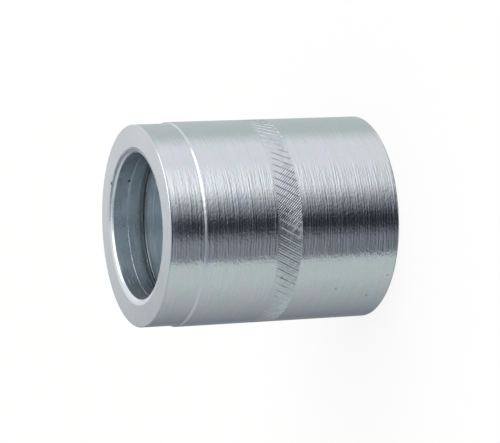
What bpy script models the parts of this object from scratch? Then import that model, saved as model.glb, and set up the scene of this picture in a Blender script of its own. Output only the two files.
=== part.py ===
"""A turned steel conduit coupling: one zinc-plated sleeve with a knurled ring.

The sleeve stands on its plain end, on its axis, with its stepped end on top.
Units are metres and +Z is up.
"""

import math

import bmesh
import bpy

MM = 0.001

# The wall, which sets the outside from the bore
COLLAR_BORE = 25.7 * MM
COLLAR_WALL = 5.15 * MM
SLEEVE_LENGTH = 42.45 * MM

# The outside, as turned
STEP_DROP = 0.25 * MM  # how far the stepped end lies below the body
STEP_LENGTH = 6.15 * MM
SHOULDER_RUN = 0.26 * MM  # how far along the axis the step slopes up to the body
FACE_EDGE_BREAK = 0.1 * MM
PLAIN_END_CHAMFER = 0.2 * MM

# The bore: a close collar under the stepped face, a relief groove, grip rings, then the socket
COLLAR_LENGTH = 5.35 * MM
COLLAR_LEDGE_PLACE = 3.2 * MM  # below the stepped face, where the collar closes in a little
COLLAR_LEDGE_HEIGHT = 0.04 * MM
CHAMFER_WIDTH = 0.3 * MM
CHAMFER_DEPTH = 0.32 * MM
RIM_WIDTH = 0.7 * MM  # the shallow rim between the chamfer and the flat face
RIM_SINK = 0.18 * MM
GROOVE_DEPTH = 0.75 * MM
GROOVE_WIDTH = 1.15 * MM
GROOVE_FLANK = 0.15 * MM
SOCKET_EASE = 0.2 * MM  # how far the socket's wall stands back from the collar's
GRIP_RING_COUNT = 3
GRIP_RING_PITCH = 0.6 * MM
GRIP_RING_HEIGHT = 0.06 * MM
LEAD_IN = 0.8 * MM  # the chamfer where a conduit enters the plain end

# The knurled ring: main grooves on one hand, finer cuts across them on the other
KNURL_SETBACK = 19.6 * MM  # from the stepped face to the ring
KNURL_WIDTH = 4.45 * MM
KNURL_GROOVE_COUNT = 78
KNURL_HELIX = math.radians(29)
KNURL_DEPTH = 0.3 * MM
CROSS_CUT_PITCH = 0.75 * MM  # along one land
CROSS_CUT_DEPTH = 0.22 * MM
KNURL_RUN_OUT = 1.5 * MM  # the side towards the step, where the tool lifts off

COLLAR_RADIUS = COLLAR_BORE / 2
SOCKET_RADIUS = COLLAR_RADIUS + SOCKET_EASE
BODY_RADIUS = COLLAR_RADIUS + COLLAR_WALL
STEP_RADIUS = BODY_RADIUS - STEP_DROP

# One column of vertices for each groove and one for each land
COLUMNS = 2 * KNURL_GROOVE_COUNT
KNURL_TOP = SLEEVE_LENGTH - KNURL_SETBACK
KNURL_FOOT = KNURL_TOP - KNURL_WIDTH
KNURL_ROWS = 2 * max(1, round(KNURL_WIDTH / CROSS_CUT_PITCH))
ROW_HEIGHT = KNURL_WIDTH / KNURL_ROWS

ZINC_COLOUR = (0.60, 0.62, 0.64, 1.0)
ZINC_ROUGHNESS = 0.32
SHARP_ANGLE = math.radians(12)


def clear_scene():
    for item in list(bpy.data.objects):
        bpy.data.objects.remove(item, do_unlink=True)


def outer_points():
    """(radius, height) down the outside, from the stepped face to the plain end."""
    shoulder = SLEEVE_LENGTH - STEP_LENGTH
    points = [
        (STEP_RADIUS - FACE_EDGE_BREAK, SLEEVE_LENGTH),
        (STEP_RADIUS, SLEEVE_LENGTH - FACE_EDGE_BREAK),
        (STEP_RADIUS, shoulder),
        (BODY_RADIUS, shoulder - SHOULDER_RUN),
    ]
    for row in range(KNURL_ROWS, -1, -1):
        points.append((BODY_RADIUS, KNURL_FOOT + row * ROW_HEIGHT))
    points.append((BODY_RADIUS, PLAIN_END_CHAMFER))
    points.append((BODY_RADIUS - PLAIN_END_CHAMFER, 0.0))
    return points


def bore_points():
    """(radius, height) up the bore, from the plain end to the stepped face."""
    groove = COLLAR_RADIUS + GROOVE_DEPTH
    groove_top = SLEEVE_LENGTH - COLLAR_LENGTH
    groove_foot = groove_top - GROOVE_WIDTH
    rings_foot = groove_foot - GRIP_RING_COUNT * GRIP_RING_PITCH
    land = COLLAR_RADIUS - COLLAR_LEDGE_HEIGHT
    ledge = SLEEVE_LENGTH - COLLAR_LEDGE_PLACE
    mouth = COLLAR_RADIUS + CHAMFER_WIDTH
    points = [(SOCKET_RADIUS + LEAD_IN, 0.0), (SOCKET_RADIUS, LEAD_IN), (SOCKET_RADIUS, rings_foot)]
    for ring in range(GRIP_RING_COUNT):
        foot = rings_foot + ring * GRIP_RING_PITCH
        points.append((SOCKET_RADIUS - GRIP_RING_HEIGHT, foot + GRIP_RING_PITCH / 2))
        points.append((SOCKET_RADIUS, foot + GRIP_RING_PITCH))
    points += [
        (groove, groove_foot + GROOVE_FLANK),
        (groove, groove_top - GROOVE_FLANK),
        (land, groove_top),
        (land, ledge - COLLAR_LEDGE_HEIGHT),
        (COLLAR_RADIUS, ledge),
        (COLLAR_RADIUS, SLEEVE_LENGTH - RIM_SINK - CHAMFER_DEPTH),
        (mouth, SLEEVE_LENGTH - RIM_SINK),
        (mouth + RIM_WIDTH, SLEEVE_LENGTH),
    ]
    return points


def turned_mesh(name, points):
    """The closed section swept once round Z by a Screw modifier, as a mesh."""
    section = bpy.data.meshes.new(name + "_section")
    count = len(points)
    edges = [(index, (index + 1) % count) for index in range(count)]
    section.from_pydata([(radius, 0.0, height) for radius, height in points], edges, [])
    blank = bpy.data.objects.new(name + "_blank", section)
    bpy.context.scene.collection.objects.link(blank)
    turn = blank.modifiers.new("turn", "SCREW")
    turn.axis = "Z"
    turn.angle = 2 * math.pi
    turn.steps = turn.render_steps = COLUMNS
    turn.use_merge_vertices = True
    turn.merge_threshold = 0.00001
    bpy.context.view_layer.update()
    mesh = bpy.data.meshes.new_from_object(blank.evaluated_get(bpy.context.evaluated_depsgraph_get()))
    mesh.name = name
    bpy.data.objects.remove(blank, do_unlink=True)
    bpy.data.meshes.remove(section)
    return mesh


def cut_depth(column, row):
    """How deep the knurl is at one vertex of the ring, fading out towards the step."""
    if row in (0, KNURL_ROWS):
        return 0.0
    fade = min(1.0, (KNURL_ROWS - row) * ROW_HEIGHT / KNURL_RUN_OUT)
    if column % 2 == 0:
        return KNURL_DEPTH * fade
    return CROSS_CUT_DEPTH * fade if row % 2 == 0 else 0.0


def knurl(mesh):
    """Cuts the knurled ring into the turned outside.

    The columns of vertices are turned to follow the main grooves, the even ones
    are pushed in to the groove's depth, and the lands between them are notched at
    every second row. Each face is then split from its upper corner on one column
    to its lower corner on the next, the way the cross cuts run.
    """
    cut = bmesh.new()
    cut.from_mesh(mesh)
    mid_wall = (BODY_RADIUS + SOCKET_RADIUS) / 2
    twist = math.tan(KNURL_HELIX) / BODY_RADIUS
    places = {}
    for vert in cut.verts:
        radius = math.hypot(vert.co.x, vert.co.y)
        if radius < mid_wall:
            continue
        angle = math.atan2(vert.co.y, vert.co.x)
        column = round(angle / (2 * math.pi) * COLUMNS) % COLUMNS
        row = round((vert.co.z - KNURL_FOOT) / ROW_HEIGHT)
        in_ring = 0 <= row <= KNURL_ROWS and math.isclose(
            vert.co.z, KNURL_FOOT + row * ROW_HEIGHT, abs_tol=0.01 * ROW_HEIGHT
        )
        if in_ring:
            places[vert] = (column, row)
            radius -= cut_depth(column, row)
        climb = min(max(vert.co.z - KNURL_FOOT, 0.0), KNURL_WIDTH)
        angle += twist * climb
        vert.co.x = radius * math.cos(angle)
        vert.co.y = radius * math.sin(angle)
    for face in list(cut.faces):
        if not all(vert in places for vert in face.verts):
            continue
        upper = max(places[vert][1] for vert in face.verts)
        corners = {places[vert]: vert for vert in face.verts}
        for (column, row), vert in corners.items():
            across = corners.get(((column + 1) % COLUMNS, row - 1))
            if row == upper and across:
                bmesh.utils.face_split(face, vert, across)
                break
    cut.to_mesh(mesh)
    cut.free()


def zinc_plated_steel():
    material = bpy.data.materials.new("bright_zinc_plated_steel")
    material.use_nodes = True
    shader = material.node_tree.nodes["Principled BSDF"]
    shader.inputs["Base Color"].default_value = ZINC_COLOUR
    shader.inputs["Metallic"].default_value = 1.0
    shader.inputs["Roughness"].default_value = ZINC_ROUGHNESS
    material.diffuse_color = ZINC_COLOUR
    return material


def coupling_sleeve(collection):
    mesh = turned_mesh("coupling_sleeve", outer_points() + bore_points())
    knurl(mesh)
    mesh.materials.clear()
    mesh.materials.append(zinc_plated_steel())
    mesh.shade_smooth()
    mesh.set_sharp_from_angle(angle=SHARP_ANGLE)
    sleeve = bpy.data.objects.new("coupling_sleeve", mesh)
    collection.objects.link(sleeve)
    return sleeve


def main():
    clear_scene()
    coupling = bpy.data.collections.new("Conduit coupling")
    bpy.context.scene.collection.children.link(coupling)
    coupling_sleeve(coupling)
    bpy.context.view_layer.update()


main()
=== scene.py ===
import bpy, math
import numpy as np
from mathutils import Matrix, Vector


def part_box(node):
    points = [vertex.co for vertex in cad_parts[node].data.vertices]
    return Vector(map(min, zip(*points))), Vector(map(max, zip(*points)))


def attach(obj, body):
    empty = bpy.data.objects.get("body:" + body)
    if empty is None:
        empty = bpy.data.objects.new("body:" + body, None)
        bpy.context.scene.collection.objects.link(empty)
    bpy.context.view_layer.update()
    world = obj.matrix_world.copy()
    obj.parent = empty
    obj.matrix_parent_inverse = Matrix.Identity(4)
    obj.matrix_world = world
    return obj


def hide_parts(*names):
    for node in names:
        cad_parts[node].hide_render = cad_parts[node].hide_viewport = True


# Conduit coupling: the looks of one turned, knurled and plated sleeve, made to fit its CAD frame
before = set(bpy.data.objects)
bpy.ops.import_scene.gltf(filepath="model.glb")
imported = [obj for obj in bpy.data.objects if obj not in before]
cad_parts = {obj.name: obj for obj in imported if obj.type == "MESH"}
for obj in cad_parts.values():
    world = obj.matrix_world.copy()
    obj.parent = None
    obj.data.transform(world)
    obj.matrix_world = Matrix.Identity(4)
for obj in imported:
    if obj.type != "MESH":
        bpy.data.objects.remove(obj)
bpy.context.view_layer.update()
print("frame loaded:", sorted(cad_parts))

mm = 0.001
scene = bpy.context.scene
scene.view_settings.view_transform = "Standard"


def toLinear(hexColour):
    # "#rrggbb" as a picture shows it, to the linear colour that a shader takes
    parts = [int(hexColour[i:i + 2], 16) / 255 for i in (1, 3, 5)]
    return tuple(c / 12.92 if c <= 0.04045 else ((c + 0.055) / 1.055) ** 2.4 for c in parts) + (1.0,)


def addObject(name, data):
    thing = bpy.data.objects.new(name, data)
    scene.collection.objects.link(thing)
    return thing


def emptyMaterial(name):
    material = bpy.data.materials.new(name)
    material.use_nodes = True
    material.node_tree.nodes.clear()
    return material, material.node_tree


def addNode(tree, kind, settings=None, links=None):
    # one node, its settings (inputs by number or name, colour stops, or properties) and what feeds it
    node = tree.nodes.new(kind)
    for key, value in (settings or {}).items():
        if isinstance(key, int) or key in node.inputs:
            node.inputs[key].default_value = value
        elif key == "stops":
            while len(node.color_ramp.elements) > 1:
                node.color_ramp.elements.remove(node.color_ramp.elements[-1])
            for number, (place, colour) in enumerate(value):
                ramp = node.color_ramp.elements
                stop = ramp[0] if number == 0 else ramp.new(place)
                stop.position = place
                stop.color = toLinear(colour) if isinstance(colour, str) else (colour,) * 3 + (1.0,)
        else:
            setattr(node, key, value)
    for key, source in (links or {}).items():
        tree.links.new(source, node.inputs[key])
    return node


def addMath(tree, operation, *terms):
    # the output of one Math node, whose terms are numbers or the outputs of other nodes
    numbers = {place: term for place, term in enumerate(terms) if isinstance(term, (int, float))}
    sources = {place: term for place, term in enumerate(terms) if place not in numbers}
    return addNode(tree, "ShaderNodeMath", {"operation": operation, **numbers}, sources).outputs[0]


def addRange(tree, value, span, result, easing="LINEAR"):
    # the output of one Map Range node, which takes the value's span to the result's two ends
    settings = {"interpolation_type": easing, "From Min": span[0], "From Max": span[1],
                "To Min": result[0], "To Max": result[1]}
    return addNode(tree, "ShaderNodeMapRange", settings, {"Value": value}).outputs[0]


# Camera: the sleeve's axis lies across the picture, so the camera is rolled onto its side. In mm.
camera = {
    "place": (0.0, -438.8, 199.8),
    "aim": (-0.1, 0.0, 20.8),
    "up": (0.999, -0.017, -0.042),
    "lens": 192.0,
    "sensor": 36.0,
}
cameraData = bpy.data.cameras.new("photo_camera")
cameraData.lens, cameraData.sensor_width = camera["lens"], camera["sensor"]
cameraObject = addObject("photo_camera", cameraData)
backward = (Vector(camera["place"]) - Vector(camera["aim"])).normalized()
right = Vector(camera["up"]).cross(backward).normalized()
up = backward.cross(right)
turn = Matrix((right, up, backward)).transposed().to_4x4()
cameraObject.matrix_world = Matrix.Translation(Vector(camera["place"]) * mm) @ turn
scene.camera = cameraObject
print("camera placed")


# Studio: a white floor and background, one soft lamp overhead, and a ring of pale and dark boards that
# only the metal sees. Tones go by compass angle from the camera's side (0), turning towards +X (90).
studio = {
    "worldFill": 0.95,
    "floorColour": "#f2f2f0",
    "floorHalf": 3.0,
    "floorGlow": 0.8,       # how much of the seen floor is plain white, so its shadow stays light
    "pulpSize": 3 * mm,     # the paper's faint unevenness
    "pulpDepth": 0.05 * mm,
    "pulpStrength": 0.1,
    "lampPlace": (0.55, -0.15, 0.82),
    "lampSize": 0.95,
    "lampPower": 2.9,
    "boardRadius": 1.2,
    "boardHalfHeight": 3.6,
    "boardSides": 180,
    # six plain cards, from a lit white one to a black flag, and where each one stands
    "cards": {"lit": "#ffffff", "white": "#e8eaee", "pale": "#c2caca", "grey": "#989ca0", "dull": "#7c8088",
              "black": "#30343c"},
    "boardTones": [
        (-180, "grey"), (-150, "dull"), (-125, "grey"), (-70, "pale"), (-48, "pale"), (-42, "dull"),
        (-24, "dull"), (-9, "black"), (1, "black"), (13, "dull"), (20, "grey"), (37, "white"),
        (96, "white"), (116, "pale"), (180, "pale"),
    ],
    # each board pales towards its top and darkens towards its foot by this share
    "boardSpread": [
        (-180, 0.05), (-60, 0.05), (-48, 0.1), (-42, 0.45), (-25, 0.45), (-17, 0.7), (0, 0.8), (12, 0.75),
        (20, 0.6), (30, 0.5), (50, 0.4), (58, 0.3), (66, 0.05), (180, 0.05),
    ],
    # the room over the boards has cards of its own
    "roomTones": [
        (-180, "white"), (-173, "grey"), (-168, "dull"), (-150, "grey"), (-104, "pale"), (-62, "pale"),
        (-45, "grey"), (-10, "grey"), (25, "white"), (40, "lit"), (90, "white"), (130, "white"),
        (160, "lit"), (170, "white"), (180, "white"),
    ],
    "underTone": "#50555a",     # and below the boards it is dull
    # heights on the ring as slopes, height over distance. The camera's rays meet it about the middle
    # once the sleeve's wall has sent them on, and the other slopes are counted from there.
    "boardMiddle": -0.414,
    "boardRise": 0.2,             # to where a board is palest, and down to where it is darkest
    "roomRise": (0.35, 0.55),     # where the room takes over from the boards
    "underDrop": (-0.45, -0.75),  # where the dull part below them does
}


def seenDirectly(tree):
    # 1 for rays of the camera, of reflections and through glass, 0 for the rays that light things
    path = addNode(tree, "ShaderNodeLightPath")
    seen = addMath(tree, "MAXIMUM", path.outputs["Is Camera Ray"], path.outputs["Is Glossy Ray"])
    return addMath(tree, "MAXIMUM", seen, path.outputs["Is Transmission Ray"])


def buildFloor():
    half = studio["floorHalf"]
    corners = [(-half, -half, 0), (half, -half, 0), (half, half, 0), (-half, half, 0)]
    mesh = bpy.data.meshes.new("studio_floor")
    mesh.from_pydata(corners, [], [(0, 1, 2, 3)])
    floor = addObject("studio_floor", mesh)
    # matt paper: only diffuse, with a faint pulp unevenness
    paper, tree = emptyMaterial("matt_white_paper")
    where = addNode(tree, "ShaderNodeTexCoord")
    pulp = addNode(tree, "ShaderNodeTexNoise", {"Scale": 1 / studio["pulpSize"], "Detail": 3},
                   {"Vector": where.outputs["Object"]})
    dent = addNode(tree, "ShaderNodeBump",
                   {"Strength": studio["pulpStrength"], "Distance": studio["pulpDepth"]},
                   {"Height": pulp.outputs["Fac"]})
    matt = addNode(tree, "ShaderNodeBsdfDiffuse", {"Color": toLinear(studio["floorColour"])},
                   {"Normal": dent.outputs["Normal"]})
    white = addNode(tree, "ShaderNodeEmission", {"Color": (1, 1, 1, 1), "Strength": 1.0})
    share = addMath(tree, "MULTIPLY", seenDirectly(tree), studio["floorGlow"])
    mix = addNode(tree, "ShaderNodeMixShader", {}, {0: share, 1: matt.outputs[0], 2: white.outputs[0]})
    addNode(tree, "ShaderNodeOutputMaterial", {}, {"Surface": mix.outputs[0]})
    mesh.materials.append(paper)
    floor.visible_glossy = False   # the boards stand between it and what the metal reflects


def cardMaterial():
    card, tree = emptyMaterial("lit_studio_card")
    radius = studio["boardRadius"]
    middle, rise = studio["boardMiddle"] * radius, studio["boardRise"] * radius
    where = addNode(tree, "ShaderNodeTexCoord")
    part = addNode(tree, "ShaderNodeSeparateXYZ", {}, {0: where.outputs["Object"]})
    height = part.outputs["Z"]
    angle = addMath(tree, "ARCTAN2", part.outputs["X"], addMath(tree, "MULTIPLY", part.outputs["Y"], -1.0))
    compass = addRange(tree, angle, (-math.pi, math.pi), (0.0, 1.0))

    def byAngle(name):
        # a ramp that runs from -180 to 180 degrees
        stops = [((a + 180) / 360, studio["cards"].get(tone, tone)) for a, tone in studio[name]]
        return addNode(tree, "ShaderNodeValToRGB", {"stops": stops}, {0: compass}).outputs["Color"]

    def pastSlopes(slopes):
        start, end = (middle + slope * radius for slope in slopes)
        return addRange(tree, height, (start, end), (0.0, 1.0), "SMOOTHSTEP")

    level = addRange(tree, height, (middle - rise, middle + rise), (-1.0, 1.0))
    spread = addMath(tree, "MULTIPLY_ADD", level, byAngle("boardSpread"), 1.0)
    shaded = addNode(tree, "ShaderNodeVectorMath", {"operation": "SCALE"},
                     {"Vector": byAngle("boardTones"), "Scale": spread})
    tone = addNode(tree, "ShaderNodeMix", {"data_type": "RGBA"},
                   {"Factor": pastSlopes(studio["roomRise"]), 6: shaded.outputs[0], 7: byAngle("roomTones")})
    whole = addNode(tree, "ShaderNodeMix", {"data_type": "RGBA", 7: toLinear(studio["underTone"])},
                    {"Factor": pastSlopes(studio["underDrop"]), 6: tone.outputs[2]})
    glow = addNode(tree, "ShaderNodeEmission", {"Strength": 1.0}, {"Color": whole.outputs[2]})
    addNode(tree, "ShaderNodeOutputMaterial", {}, {"Surface": glow.outputs[0]})
    return card


def buildBoards():
    radius, half, sides = studio["boardRadius"], studio["boardHalfHeight"], studio["boardSides"]
    ring = [(radius * math.cos(a), radius * math.sin(a)) for a in np.arange(sides) * 2 * math.pi / sides]
    mesh = bpy.data.meshes.new("studio_boards")
    mesh.from_pydata([(x, y, -half) for x, y in ring] + [(x, y, half) for x, y in ring], [],
                     [(i, (i + 1) % sides, sides + (i + 1) % sides, sides + i) for i in range(sides)])
    mesh.materials.append(cardMaterial())
    boards = addObject("studio_boards", mesh)
    boards.visible_camera = boards.visible_diffuse = False
    boards.visible_transmission = boards.visible_shadow = False


def lightStudio():
    world = bpy.data.worlds.new("white_studio")
    scene.world = world
    world.use_nodes = True
    tree = world.node_tree
    tree.nodes.clear()
    strength = addRange(tree, seenDirectly(tree), (0.0, 1.0), (studio["worldFill"], 1.0))
    back = addNode(tree, "ShaderNodeBackground", {"Color": (1, 1, 1, 1)}, {"Strength": strength})
    addNode(tree, "ShaderNodeOutputWorld", {}, {"Surface": back.outputs[0]})
    lamp = bpy.data.lights.new("soft_lamp", "AREA")
    lamp.shape, lamp.size, lamp.energy = "DISK", studio["lampSize"], studio["lampPower"]
    lampObject = addObject("soft_lamp", lamp)
    lampObject.location = studio["lampPlace"]
    lampObject.rotation_euler = Vector(studio["lampPlace"]).to_track_quat("Z", "Y").to_euler()


buildFloor()
buildBoards()
lightStudio()
print("studio set")


# Sleeve: one turned steel piece. Its places run down from the stepped face, as it was turned.
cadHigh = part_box("coupling_sleeve")[1]
sleeve = {
    "top": cadHigh.z,
    "bodyRadius": cadHigh.x,
    "stepDrop": 0.25 * mm,
    "stepLength": 6.15 * mm,
    "shoulderRun": 0.26 * mm,
    "faceEdge": 0.1 * mm,
    "undercut": 0.04 * mm,      # the facing tool's burr leaves the edge a hair proud of the step behind it
    "undercutRun": 0.2 * mm,    # from the broken edge to its deepest place
    "undercutEnd": 1.1 * mm,    # from the face to where it runs out
    "plainChamfer": 0.2 * mm,
    "collarRadius": 12.85 * mm,
    "collarLength": 5.35 * mm,
    "collarLedge": 3.2 * mm,    # where the collar closes in a little, facing the mouth
    "ledgeHeight": 0.03 * mm,
    "chamferWidth": 0.3 * mm,
    "chamferDepth": 0.32 * mm,
    "rimWidth": 0.7 * mm,
    "rimSink": 0.18 * mm,
    "boreOnRim": 0.3,           # the share of the rim that the bore's finish reaches over
    "grooveDepth": 0.75 * mm,
    "grooveWidth": 1.15 * mm,
    "grooveFlank": 0.15 * mm,
    "socketEase": 0.2 * mm,     # how far the socket's wall stands back from the collar's
    "ringCount": 3,
    "ringPitch": 0.6 * mm,
    "ringHeight": 0.04 * mm,
    "leadIn": 0.8 * mm,
    "columns": 156,
    "edgeRound": 0.055 * mm,    # what deburring and plating leave on every corner
    "roundParts": 2,
    "leastReach": 0.4,          # how many edgeRounds even a shallow corner's curve reaches along its sides
    "mostReach": 0.4,           # the share of a side that one corner's curve may take
    "straightBend": math.radians(2),   # a corner that bends less is left as it is
}
grooveLean = math.radians(29)
knurl = {
    "setback": 19.6 * mm,
    "width": 4.45 * mm,
    # each family of cuts: how many, its lean, half of a cut's width, its depth, how unevenly it bit in,
    # and its mean bite and swing round the sleeve, which sat a hair off centre
    "mainCuts": {"count": 78, "lean": grooveLean, "half": 0.14 * mm, "depth": 0.23 * mm,
                 "uneven": 0.38, "bite": (0.56, 0.44)},
    "alongCuts": {"count": 234, "lean": grooveLean, "half": 0.1 * mm, "depth": 0.045 * mm,
                  "uneven": 0.6, "bite": (1.0, 0.0)},
    "acrossCuts": {"count": 238, "lean": math.radians(-44), "half": 0.12 * mm, "depth": 0.15 * mm,
                   "uneven": 0.6, "bite": (0.95, -0.35)},
    "deepSide": math.radians(-18),   # where the main cuts are deepest and the cross cuts least
    "scatter": (2.3, 1.7),      # mixes the cuts' numbers, so that neighbours bite differently
    "wander": (1.1, 3),         # the slowest change along a cut, in radians a mm, and how many speeds
    "overlap": 0.3,             # how much of the shallower cut is added where two of them cross
    "fadeLength": 1.4 * mm,     # the tool lifts off towards the step
    "fineFade": 3.2 * mm,
    "fadePower": 0.8,
    "endRun": 0.16 * mm,
    "guard": 0.05 * mm,         # a row of plain body beside the band, which keeps its edge crisp
    "rows": 47,
    "fineness": 11,             # columns of the band for each column of the body
}

# radii and heights that follow from those
socketRadius = sleeve["collarRadius"] + sleeve["socketEase"]
mouthRadius = sleeve["collarRadius"] + sleeve["chamferWidth"]
midWall = (socketRadius + sleeve["bodyRadius"]) / 2
grooveTop = sleeve["top"] - sleeve["collarLength"]
bandTop = sleeve["top"] - knurl["setback"]
bandFoot = bandTop - knurl["width"]

# the four finishes, numbered as the mesh's materials are
outsideSlot, faceSlot, boreSlot, bandSlot = range(4)


def roundCorners(points):
    # each corner of the closed outline becomes a short curve
    size, parts, most = sleeve["edgeRound"], sleeve["roundParts"], sleeve["mostReach"]
    out = []
    for i, here in enumerate(points):
        here = Vector(here)
        before, after = Vector(points[i - 1]) - here, Vector(points[(i + 1) % len(points)]) - here
        bend = math.pi - before.angle(after)
        if bend < sleeve["straightBend"]:
            out.append(tuple(here))
            continue
        reach = size * (sleeve["leastReach"] + math.tan(bend / 2))
        reach = min(reach, most * before.length, most * after.length)
        start, end = here + before.normalized() * reach, here + after.normalized() * reach
        for t in np.linspace(0, 1, parts + 1):
            out.append(tuple(start * (1 - t) ** 2 + here * 2 * t * (1 - t) + end * t ** 2))
    return out


def sleeveOutline():
    # the section, (radius, height): in under the plain end, up the bore, over the face, down to the band
    size = sleeve
    body, collar, top = size["bodyRadius"], size["collarRadius"], size["top"]
    step, shoulder = body - size["stepDrop"], top - size["stepLength"]
    groove, grooveFoot = collar + size["grooveDepth"], grooveTop - size["grooveWidth"]
    ringsFoot = grooveFoot - size["ringCount"] * size["ringPitch"]
    land, ledge = collar - size["ledgeHeight"], top - size["collarLedge"]
    outline = [
        (body, size["plainChamfer"]), (body - size["plainChamfer"], 0.0),
        (socketRadius + size["leadIn"], 0.0), (socketRadius, size["leadIn"]), (socketRadius, ringsFoot),
    ]
    for ring in range(size["ringCount"]):
        foot = ringsFoot + ring * size["ringPitch"]
        outline.append((socketRadius - size["ringHeight"], foot + size["ringPitch"] / 2))
        outline.append((socketRadius, foot + size["ringPitch"]))
    outline += [
        (groove, grooveFoot + size["grooveFlank"]), (groove, grooveTop - size["grooveFlank"]),
        (land, grooveTop), (land, ledge - size["ledgeHeight"]), (collar, ledge),
        (collar, top - size["rimSink"] - size["chamferDepth"]),
        (mouthRadius, top - size["rimSink"]), (mouthRadius + size["rimWidth"], top),
        (step - size["faceEdge"], top), (step, top - size["faceEdge"]),
        (step - size["undercut"], top - size["faceEdge"] - size["undercutRun"]),
        (step, top - size["undercutEnd"]), (step, shoulder), (body, shoulder - size["shoulderRun"]),
    ]
    return roundCorners(outline)


def knurlTwist(height):
    # the columns of the outside lean with the main grooves across the band, so each groove has its own
    return math.tan(grooveLean) / sleeve["bodyRadius"] * min(max(height, 0.0), knurl["width"])


def knurlDepth(angle, height):
    # how far the band lies below the body at each angle, at one height over the band's foot
    radius = sleeve["bodyRadius"]

    def veeCuts(cuts):
        lines = (angle - height * math.tan(cuts["lean"]) / radius) * cuts["count"] / (2 * math.pi)
        nearest = np.round(lines)
        across = np.abs(lines - nearest) * 2 * math.pi * radius / cuts["count"] * math.cos(cuts["lean"])
        # every cut bites a little differently, and changes along its length
        own = nearest % cuts["count"]
        (square, plain), (slowest, speeds) = knurl["scatter"], knurl["wander"]
        wave = np.sin(own * own * square + own * plain + height / mm * (slowest + own % speeds))
        mean, swing = cuts["bite"]
        bite = 1 - cuts["uneven"] * (0.5 + 0.5 * wave)
        bite = bite * (mean + swing * np.cos(angle - knurl["deepSide"]))
        return cuts["depth"] * bite * np.clip(1 - across / cuts["half"], 0, 1)

    toTop = max(0.0, knurl["width"] - height)
    fades = (min(1.0, toTop / knurl[name]) ** knurl["fadePower"] for name in ("fadeLength", "fineFade"))
    mainFade, fineFade = fades
    main = veeCuts(knurl["mainCuts"]) * mainFade
    fine = np.maximum(veeCuts(knurl["alongCuts"]), veeCuts(knurl["acrossCuts"])) * fineFade
    ends = min(1.0, height / knurl["endRun"], toTop / knurl["endRun"])
    return (np.maximum(main, fine) + knurl["overlap"] * np.minimum(main, fine)) * ends


def sleeveRows():
    # rows of points round the section and then down the band: the radii, the angles and the height of each
    columns, fine = sleeve["columns"], sleeve["columns"] * knurl["fineness"]
    angles, fineAngles = (np.arange(count) * 2 * math.pi / count for count in (columns, fine))
    rows = []
    for radius, height in sleeveOutline():
        turned = knurlTwist(height - bandFoot) if radius > midWall else 0.0
        rows.append((np.full(columns, radius), angles + turned, height))
    inside = np.linspace(bandTop, bandFoot, knurl["rows"] + 1)
    for height in (bandTop + knurl["guard"], *inside, bandFoot - knurl["guard"]):
        leaning = fineAngles + knurlTwist(height - bandFoot)
        inBand = bandFoot <= height <= bandTop
        depth = knurlDepth(leaning, height - bandFoot) if inBand else np.zeros(fine)
        rows.append((sleeve["bodyRadius"] - depth, leaning, height))
    return rows


def finishSlot(rowA, rowB):
    # which finish the faces between two rows wear
    (radiiA, anglesA, heightA), (radiiB, anglesB, heightB) = rowA, rowB
    if min(len(anglesA), len(anglesB)) > sleeve["columns"]:
        return bandSlot
    middle, lower = (np.mean(radiiA) + np.mean(radiiB)) / 2, min(heightA, heightB)
    underCollar = middle < midWall and lower < grooveTop
    inMouth = middle < mouthRadius + sleeve["boreOnRim"] * sleeve["rimWidth"]
    if (underCollar or inMouth) and heightA > 0:
        return boreSlot
    onFace = lower > sleeve["top"] - sleeve["faceEdge"] * 0.5
    hair = 0.001 * mm
    underFoot = max(heightA, heightB) < hair
    return faceSlot if onFace or underFoot else outsideSlot


def buildSleeve():
    rows = sleeveRows()
    rings = [np.stack([r * np.cos(a), r * np.sin(a), np.full(len(a), h)], 1) for r, a, h in rows]
    starts = np.cumsum([0] + [len(ring) for ring in rings])
    faces, slots = [], []
    for i in range(len(rows)):
        j = (i + 1) % len(rows)
        few = min(len(rings[i]), len(rings[j]))
        slot = finishSlot(rows[i], rows[j])
        for column in range(few):
            across = []
            for row in (i, j):
                count = len(rings[row])
                ratio = count // few
                across.append([starts[row] + (column * ratio + n) % count for n in range(ratio + 1)])
            faces.append(tuple(int(v) for v in across[0] + across[1][::-1]))
            slots.append(slot)
    mesh = bpy.data.meshes.new("turned_sleeve")
    mesh.from_pydata(np.concatenate(rings).tolist(), [], faces)
    mesh.polygons.foreach_set("material_index", slots)
    mesh.shade_smooth()
    mesh.update()
    piece = addObject("turned_sleeve", mesh)
    # the large turned faces set the normals, so the light stays straight right up to each rounded corner
    piece.modifiers.new("weighed_normals", "WEIGHTED_NORMAL")
    return piece


turnedSleeve = buildSleeve()
print("sleeve turned:", len(turnedSleeve.data.polygons), "faces")

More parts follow.
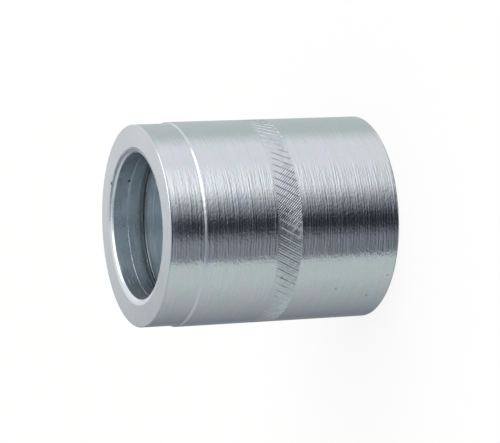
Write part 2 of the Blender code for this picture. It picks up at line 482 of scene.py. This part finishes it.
# Bright zinc-plated steel: a thin clear-passivated zinc coat over lathe marks. It gives the eye a cool
# pale metal whose reflections are drawn out along the axis by fine rings, with faint blue, green and
# pink tints from the passivation. The finishes are in the order of the slots above, and lengths, pitches
# and depths are in mm.
zincFinish = {
    "zinc_turned_outside": {
        "tints": ["#dde4eb", "#e3e7ea", "#dfe6e5", "#e6e5e9", "#e3e7ed"],
        "ringPitch": 0.42, "ringLength": 5.0, "ringDepth": 0.06,
        "feedPitch": 0.51, "feedDepth": 0.0035, "grainPitch": 0.3, "grainLength": 0.6, "grainDepth": 0.026,
        "bandPitch": 1.4, "bandLength": 16.0, "bandDepth": 0.038, "waveDepth": 0.024,
        "roughness": (0.1, 0.2), "anisotropic": 0.5,
    },
    "zinc_faced_end": {
        "tints": ["#d4dadc", "#d6dcdd", "#d8dcdd", "#d5dbdb", "#d9ddde"],
        "ringPitch": 0.3, "ringLength": 8.0, "ringDepth": 0.0012,
        "feedPitch": 0.3, "feedDepth": 0.0004, "grainPitch": 0.25, "grainLength": 0.4, "grainDepth": 0.002,
        "bandPitch": 1.2, "bandLength": 20.0, "bandDepth": 0.0015, "waveDepth": 0.004,
        "roughness": (0.2, 0.3), "anisotropic": 0.4,
    },
    "zinc_bored_inside": {
        "tints": ["#eaf2f8", "#ecf4f8", "#e8f2f6", "#eef2fa", "#ebf3f8"],
        # painted shade: the tint darkens deeper in the bore, most in the groove and just past it, where
        # shade falls (depth in mm, share of the tint)
        "depthShade": [(0, 0.99), (3.15, 0.97), (3.3, 0.88), (4.4, 0.87), (5.3, 0.68), (5.5, 0.42),
                       (6.5, 0.42), (7.0, 0.8), (7.2, 1), (42, 0.95)],
        "ringPitch": 0.35, "ringLength": 9.0, "ringDepth": 0.065,
        "feedPitch": 0.4, "feedDepth": 0.0015, "grainPitch": 0.3, "grainLength": 1.2, "grainDepth": 0.012,
        "bandPitch": 1.1, "bandLength": 18.0, "bandDepth": 0.07, "waveDepth": 0.05,
        "roughness": (0.24, 0.34), "anisotropic": 0.3,
    },
    "zinc_knurled_band": {
        "tints": ["#dde2e7", "#e0e4e8", "#dee4e4", "#e3e5e9", "#e0e4e8"],
        "ringPitch": 0.5, "ringLength": 1.0, "ringDepth": 0.004,
        "feedPitch": 0.51, "feedDepth": 0.0005, "grainPitch": 0.2, "grainLength": 0.3, "grainDepth": 0.006,
        "bandPitch": 1.5, "bandLength": 3.0, "bandDepth": 0.003, "waveDepth": 0.02,
        "roughness": (0.2, 0.32), "anisotropic": 0.2,
        "meshLines": [("alongCuts", 0.01), ("acrossCuts", 0.01)],   # sharpens these cuts by a depth
    },
}

# what all the finishes share
zincPattern = {
    "radiusShare": 1.37,          # how many mm along the tool's path one mm outwards counts as
    "details": {"ring": 2.0, "band": 3.0, "grain": 1.0},
    "noiseRoughness": 0.55,
    "cloudSize": 5 * mm,
    "cloudDetail": 3.0,
    "feedDrift": 9.0,             # radians, from the lowest to the highest of the bands
    "ringSpan": (0.4, 0.7),       # over this span of the bands the rings grow from the first share of
    "ringAmount": (0.35, 1.6),    # their depth to the second
    "meshSpan": (0.35, 0.65),     # and over this one the mesh's lines
    "meshAmount": (0.8, 3.0),
    "bandsInRoughness": 0.5,      # the bands' weight beside the clouds'
    "roughSpan": (0.55, 0.95),    # over this span of the two together the roughness rises
    "tintStart": 0.3,             # the clouds' tones over which the tints are spread
    "tintWidth": 0.4,
    "depthSpan": 42,              # mm, the deepest place of the bore's painted shade by depth
    "markRagged": 0.6,            # a mark's ragged edge, its solid part and its outer end, in sizes of it
    "markSolid": 0.5,
    "markEnd": 1.3,
    "streakTurn": 0.25,           # draws the reflections out across the rings
}

# pits and scuffs of handling, where the zinc is dull. Each one: degrees round the axis, mm out from it,
# mm below the stepped face, its size in mm and the share of the tint left.
zincMarks = {
    "pitBesideMouth": (56, 14.0, 0.0, 0.5, 0.08),
    "pitInCollar": (51, 12.9, 2.8, 0.4, 0.1),
    "scuffInBand": (-124, 18.0, 21.0, 0.5, 0.65),
    "scuffUnderBand": (-134, 18.0, 32.0, 0.4, 0.72),
    "scuffLowDown": (-141, 18.0, 38.5, 0.45, 0.7),
    "scuffAtPlainEnd": (-126, 18.0, 41.3, 0.34, 0.72),
}


def toolPlace(tree, where, height):
    # a place that runs round the axis (x, y) and along the tool's path (z), and that path by itself,
    # which is the height plus a share of the radius, so that end faces get rings too
    flat = addNode(tree, "ShaderNodeVectorMath", {"operation": "MULTIPLY", 1: (1, 1, 0)}, {0: where})
    radius = addNode(tree, "ShaderNodeVectorMath", {"operation": "LENGTH"}, {0: flat.outputs[0]})
    path = addMath(tree, "MULTIPLY_ADD", radius.outputs["Value"], zincPattern["radiusShare"], height)
    rise = addNode(tree, "ShaderNodeCombineXYZ", {}, {"Z": path})
    unit = addNode(tree, "ShaderNodeVectorMath", {"operation": "NORMALIZE"}, {0: flat.outputs[0]})
    place = addNode(tree, "ShaderNodeVectorMath",
                    {"operation": "MULTIPLY_ADD", 1: (sleeve["bodyRadius"],) * 3},
                    {0: unit.outputs[0], 2: rise.outputs[0]})
    return place.outputs[0], path


def zincNoises(tree, finish, where, place):
    # rings, bands and grain drawn out round the axis, and round clouds
    pattern, noises = zincPattern, {}
    for kind, detail in pattern["details"].items():
        length, pitch = finish[kind + "Length"] * mm, finish[kind + "Pitch"] * mm
        stretch = addNode(tree, "ShaderNodeVectorMath",
                          {"operation": "MULTIPLY", 1: (1 / length, 1 / length, 1 / pitch)}, {0: place})
        noises[kind] = addNode(tree, "ShaderNodeTexNoise",
                               {"Scale": 1.0, "Detail": detail, "Roughness": pattern["noiseRoughness"]},
                               {"Vector": stretch.outputs[0]}).outputs["Fac"]
    noises["cloud"] = addNode(tree, "ShaderNodeTexNoise",
                              {"Scale": 1 / pattern["cloudSize"], "Detail": pattern["cloudDetail"]},
                              {"Vector": where}).outputs["Fac"]
    return noises


def latheMarks(tree, finish, noises, path):
    # how high the fine marks stand: rings and one even ridge each turn of the tool, its place drifting
    # a little with the bands, both deep only here and there, and the grain over them
    depth, drift = finish["ringDepth"], addMath(tree, "MULTIPLY", noises["band"], zincPattern["feedDrift"])
    centred = addMath(tree, "MULTIPLY_ADD", noises["ring"], depth, -0.5 * depth)
    turns = addMath(tree, "MULTIPLY_ADD", path, 2 * math.pi / (finish["feedPitch"] * mm), drift)
    marks = addMath(tree, "MULTIPLY_ADD", addMath(tree, "SINE", turns), finish["feedDepth"], centred)
    amount = addRange(tree, noises["band"], zincPattern["ringSpan"], zincPattern["ringAmount"])
    rings = addMath(tree, "MULTIPLY", marks, amount)
    return addMath(tree, "MULTIPLY_ADD", noises["grain"], finish["grainDepth"], rings)


def meshLines(tree, finish, noises, part, surface):
    # sharp vees along the band's own cuts, added to the fine marks
    around = addMath(tree, "ARCTAN2", part.outputs["Y"], part.outputs["X"])
    for cuts, depth in finish["meshLines"]:
        count = knurl[cuts]["count"]
        slant = -math.tan(knurl[cuts]["lean"]) * count / (2 * math.pi * sleeve["bodyRadius"])
        climb = addMath(tree, "MULTIPLY_ADD", part.outputs["Z"], slant, -bandFoot * slant)
        line = addMath(tree, "MULTIPLY_ADD", around, count / (2 * math.pi), climb)
        amounts = [amount * depth for amount in zincPattern["meshAmount"]]
        bite = addRange(tree, noises["band"], zincPattern["meshSpan"], amounts)
        surface = addMath(tree, "MULTIPLY_ADD", addMath(tree, "PINGPONG", line, 0.5), bite, surface)
    return surface


def zincColour(tree, finish, noises, where, height):
    # tints in clouds, then painted shade that darkens the bore with depth, then the marks of handling
    pattern, top = zincPattern, sleeve["top"]
    stops = [(pattern["tintStart"] + pattern["tintWidth"] * i / (len(finish["tints"]) - 1), tint)
             for i, tint in enumerate(finish["tints"])]
    colour = addNode(tree, "ShaderNodeValToRGB", {"stops": stops}, {0: noises["cloud"]}).outputs["Color"]
    # painted shade: the bore's tint darkens with depth, most in its groove
    if "depthShade" in finish:
        deep = addRange(tree, height, (top, top - pattern["depthSpan"] * mm), (0.0, 1.0))
        stops = [(depth / pattern["depthSpan"], tone) for depth, tone in finish["depthShade"]]
        share = addNode(tree, "ShaderNodeValToRGB", {"stops": stops}, {0: deep})
        colour = addNode(tree, "ShaderNodeVectorMath", {"operation": "MULTIPLY"},
                         {0: colour, 1: share.outputs["Color"]}).outputs[0]
    for degrees, out, down, size, left in zincMarks.values():
        x, y = math.cos(math.radians(degrees)) * out * mm, math.sin(math.radians(degrees)) * out * mm
        apart = addNode(tree, "ShaderNodeVectorMath", {"operation": "DISTANCE", 1: (x, y, top - down * mm)},
                        {0: where})
        ragged = addMath(tree, "MULTIPLY_ADD", noises["grain"], pattern["markRagged"] * size * mm,
                         apart.outputs["Value"])
        span = (pattern["markSolid"] * size * mm, pattern["markEnd"] * size * mm)
        clear = addRange(tree, ragged, span, (left, 1.0), "SMOOTHSTEP")
        colour = addNode(tree, "ShaderNodeVectorMath", {"operation": "SCALE"},
                         {0: colour, "Scale": clear}).outputs[0]
    return colour


def zincMaterial(name, finish):
    material, tree = emptyMaterial(name)
    where = addNode(tree, "ShaderNodeTexCoord").outputs["Object"]
    part = addNode(tree, "ShaderNodeSeparateXYZ", {}, {0: where})
    place, path = toolPlace(tree, where, part.outputs["Z"])
    noises = zincNoises(tree, finish, where, place)
    surface = latheMarks(tree, finish, noises, path)
    if "meshLines" in finish:
        surface = meshLines(tree, finish, noises, part, surface)
    # slow waves in the wall, then wide bands, then the fine marks
    waveBump = addNode(tree, "ShaderNodeBump", {"Strength": 1.0, "Distance": finish["waveDepth"] * mm},
                       {"Height": noises["cloud"]})
    bandBump = addNode(tree, "ShaderNodeBump", {"Strength": 1.0, "Distance": finish["bandDepth"] * mm},
                       {"Height": noises["band"], "Normal": waveBump.outputs[0]})
    markBump = addNode(tree, "ShaderNodeBump", {"Strength": 1.0, "Distance": 1.0 * mm},
                       {"Height": surface, "Normal": bandBump.outputs[0]})
    mixed = addMath(tree, "MULTIPLY_ADD", noises["band"], zincPattern["bandsInRoughness"], noises["cloud"])
    rough = addRange(tree, mixed, zincPattern["roughSpan"], finish["roughness"])
    around = addNode(tree, "ShaderNodeTangent", {"direction_type": "RADIAL", "axis": "Z"})
    metal = addNode(tree, "ShaderNodeBsdfPrincipled",
                    {"Metallic": 1.0, "Anisotropic": finish["anisotropic"],
                     "Anisotropic Rotation": zincPattern["streakTurn"]},
                    {"Base Color": zincColour(tree, finish, noises, where, part.outputs["Z"]),
                     "Roughness": rough, "Normal": markBump.outputs[0], "Tangent": around.outputs[0]})
    addNode(tree, "ShaderNodeOutputMaterial", {}, {"Surface": metal.outputs[0]})
    return material


for name, finish in zincFinish.items():
    turnedSleeve.data.materials.append(zincMaterial(name, finish))
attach(turnedSleeve, "root")
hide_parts("coupling_sleeve")
print("zinc finish laid on")

bpy.context.view_layer.update()
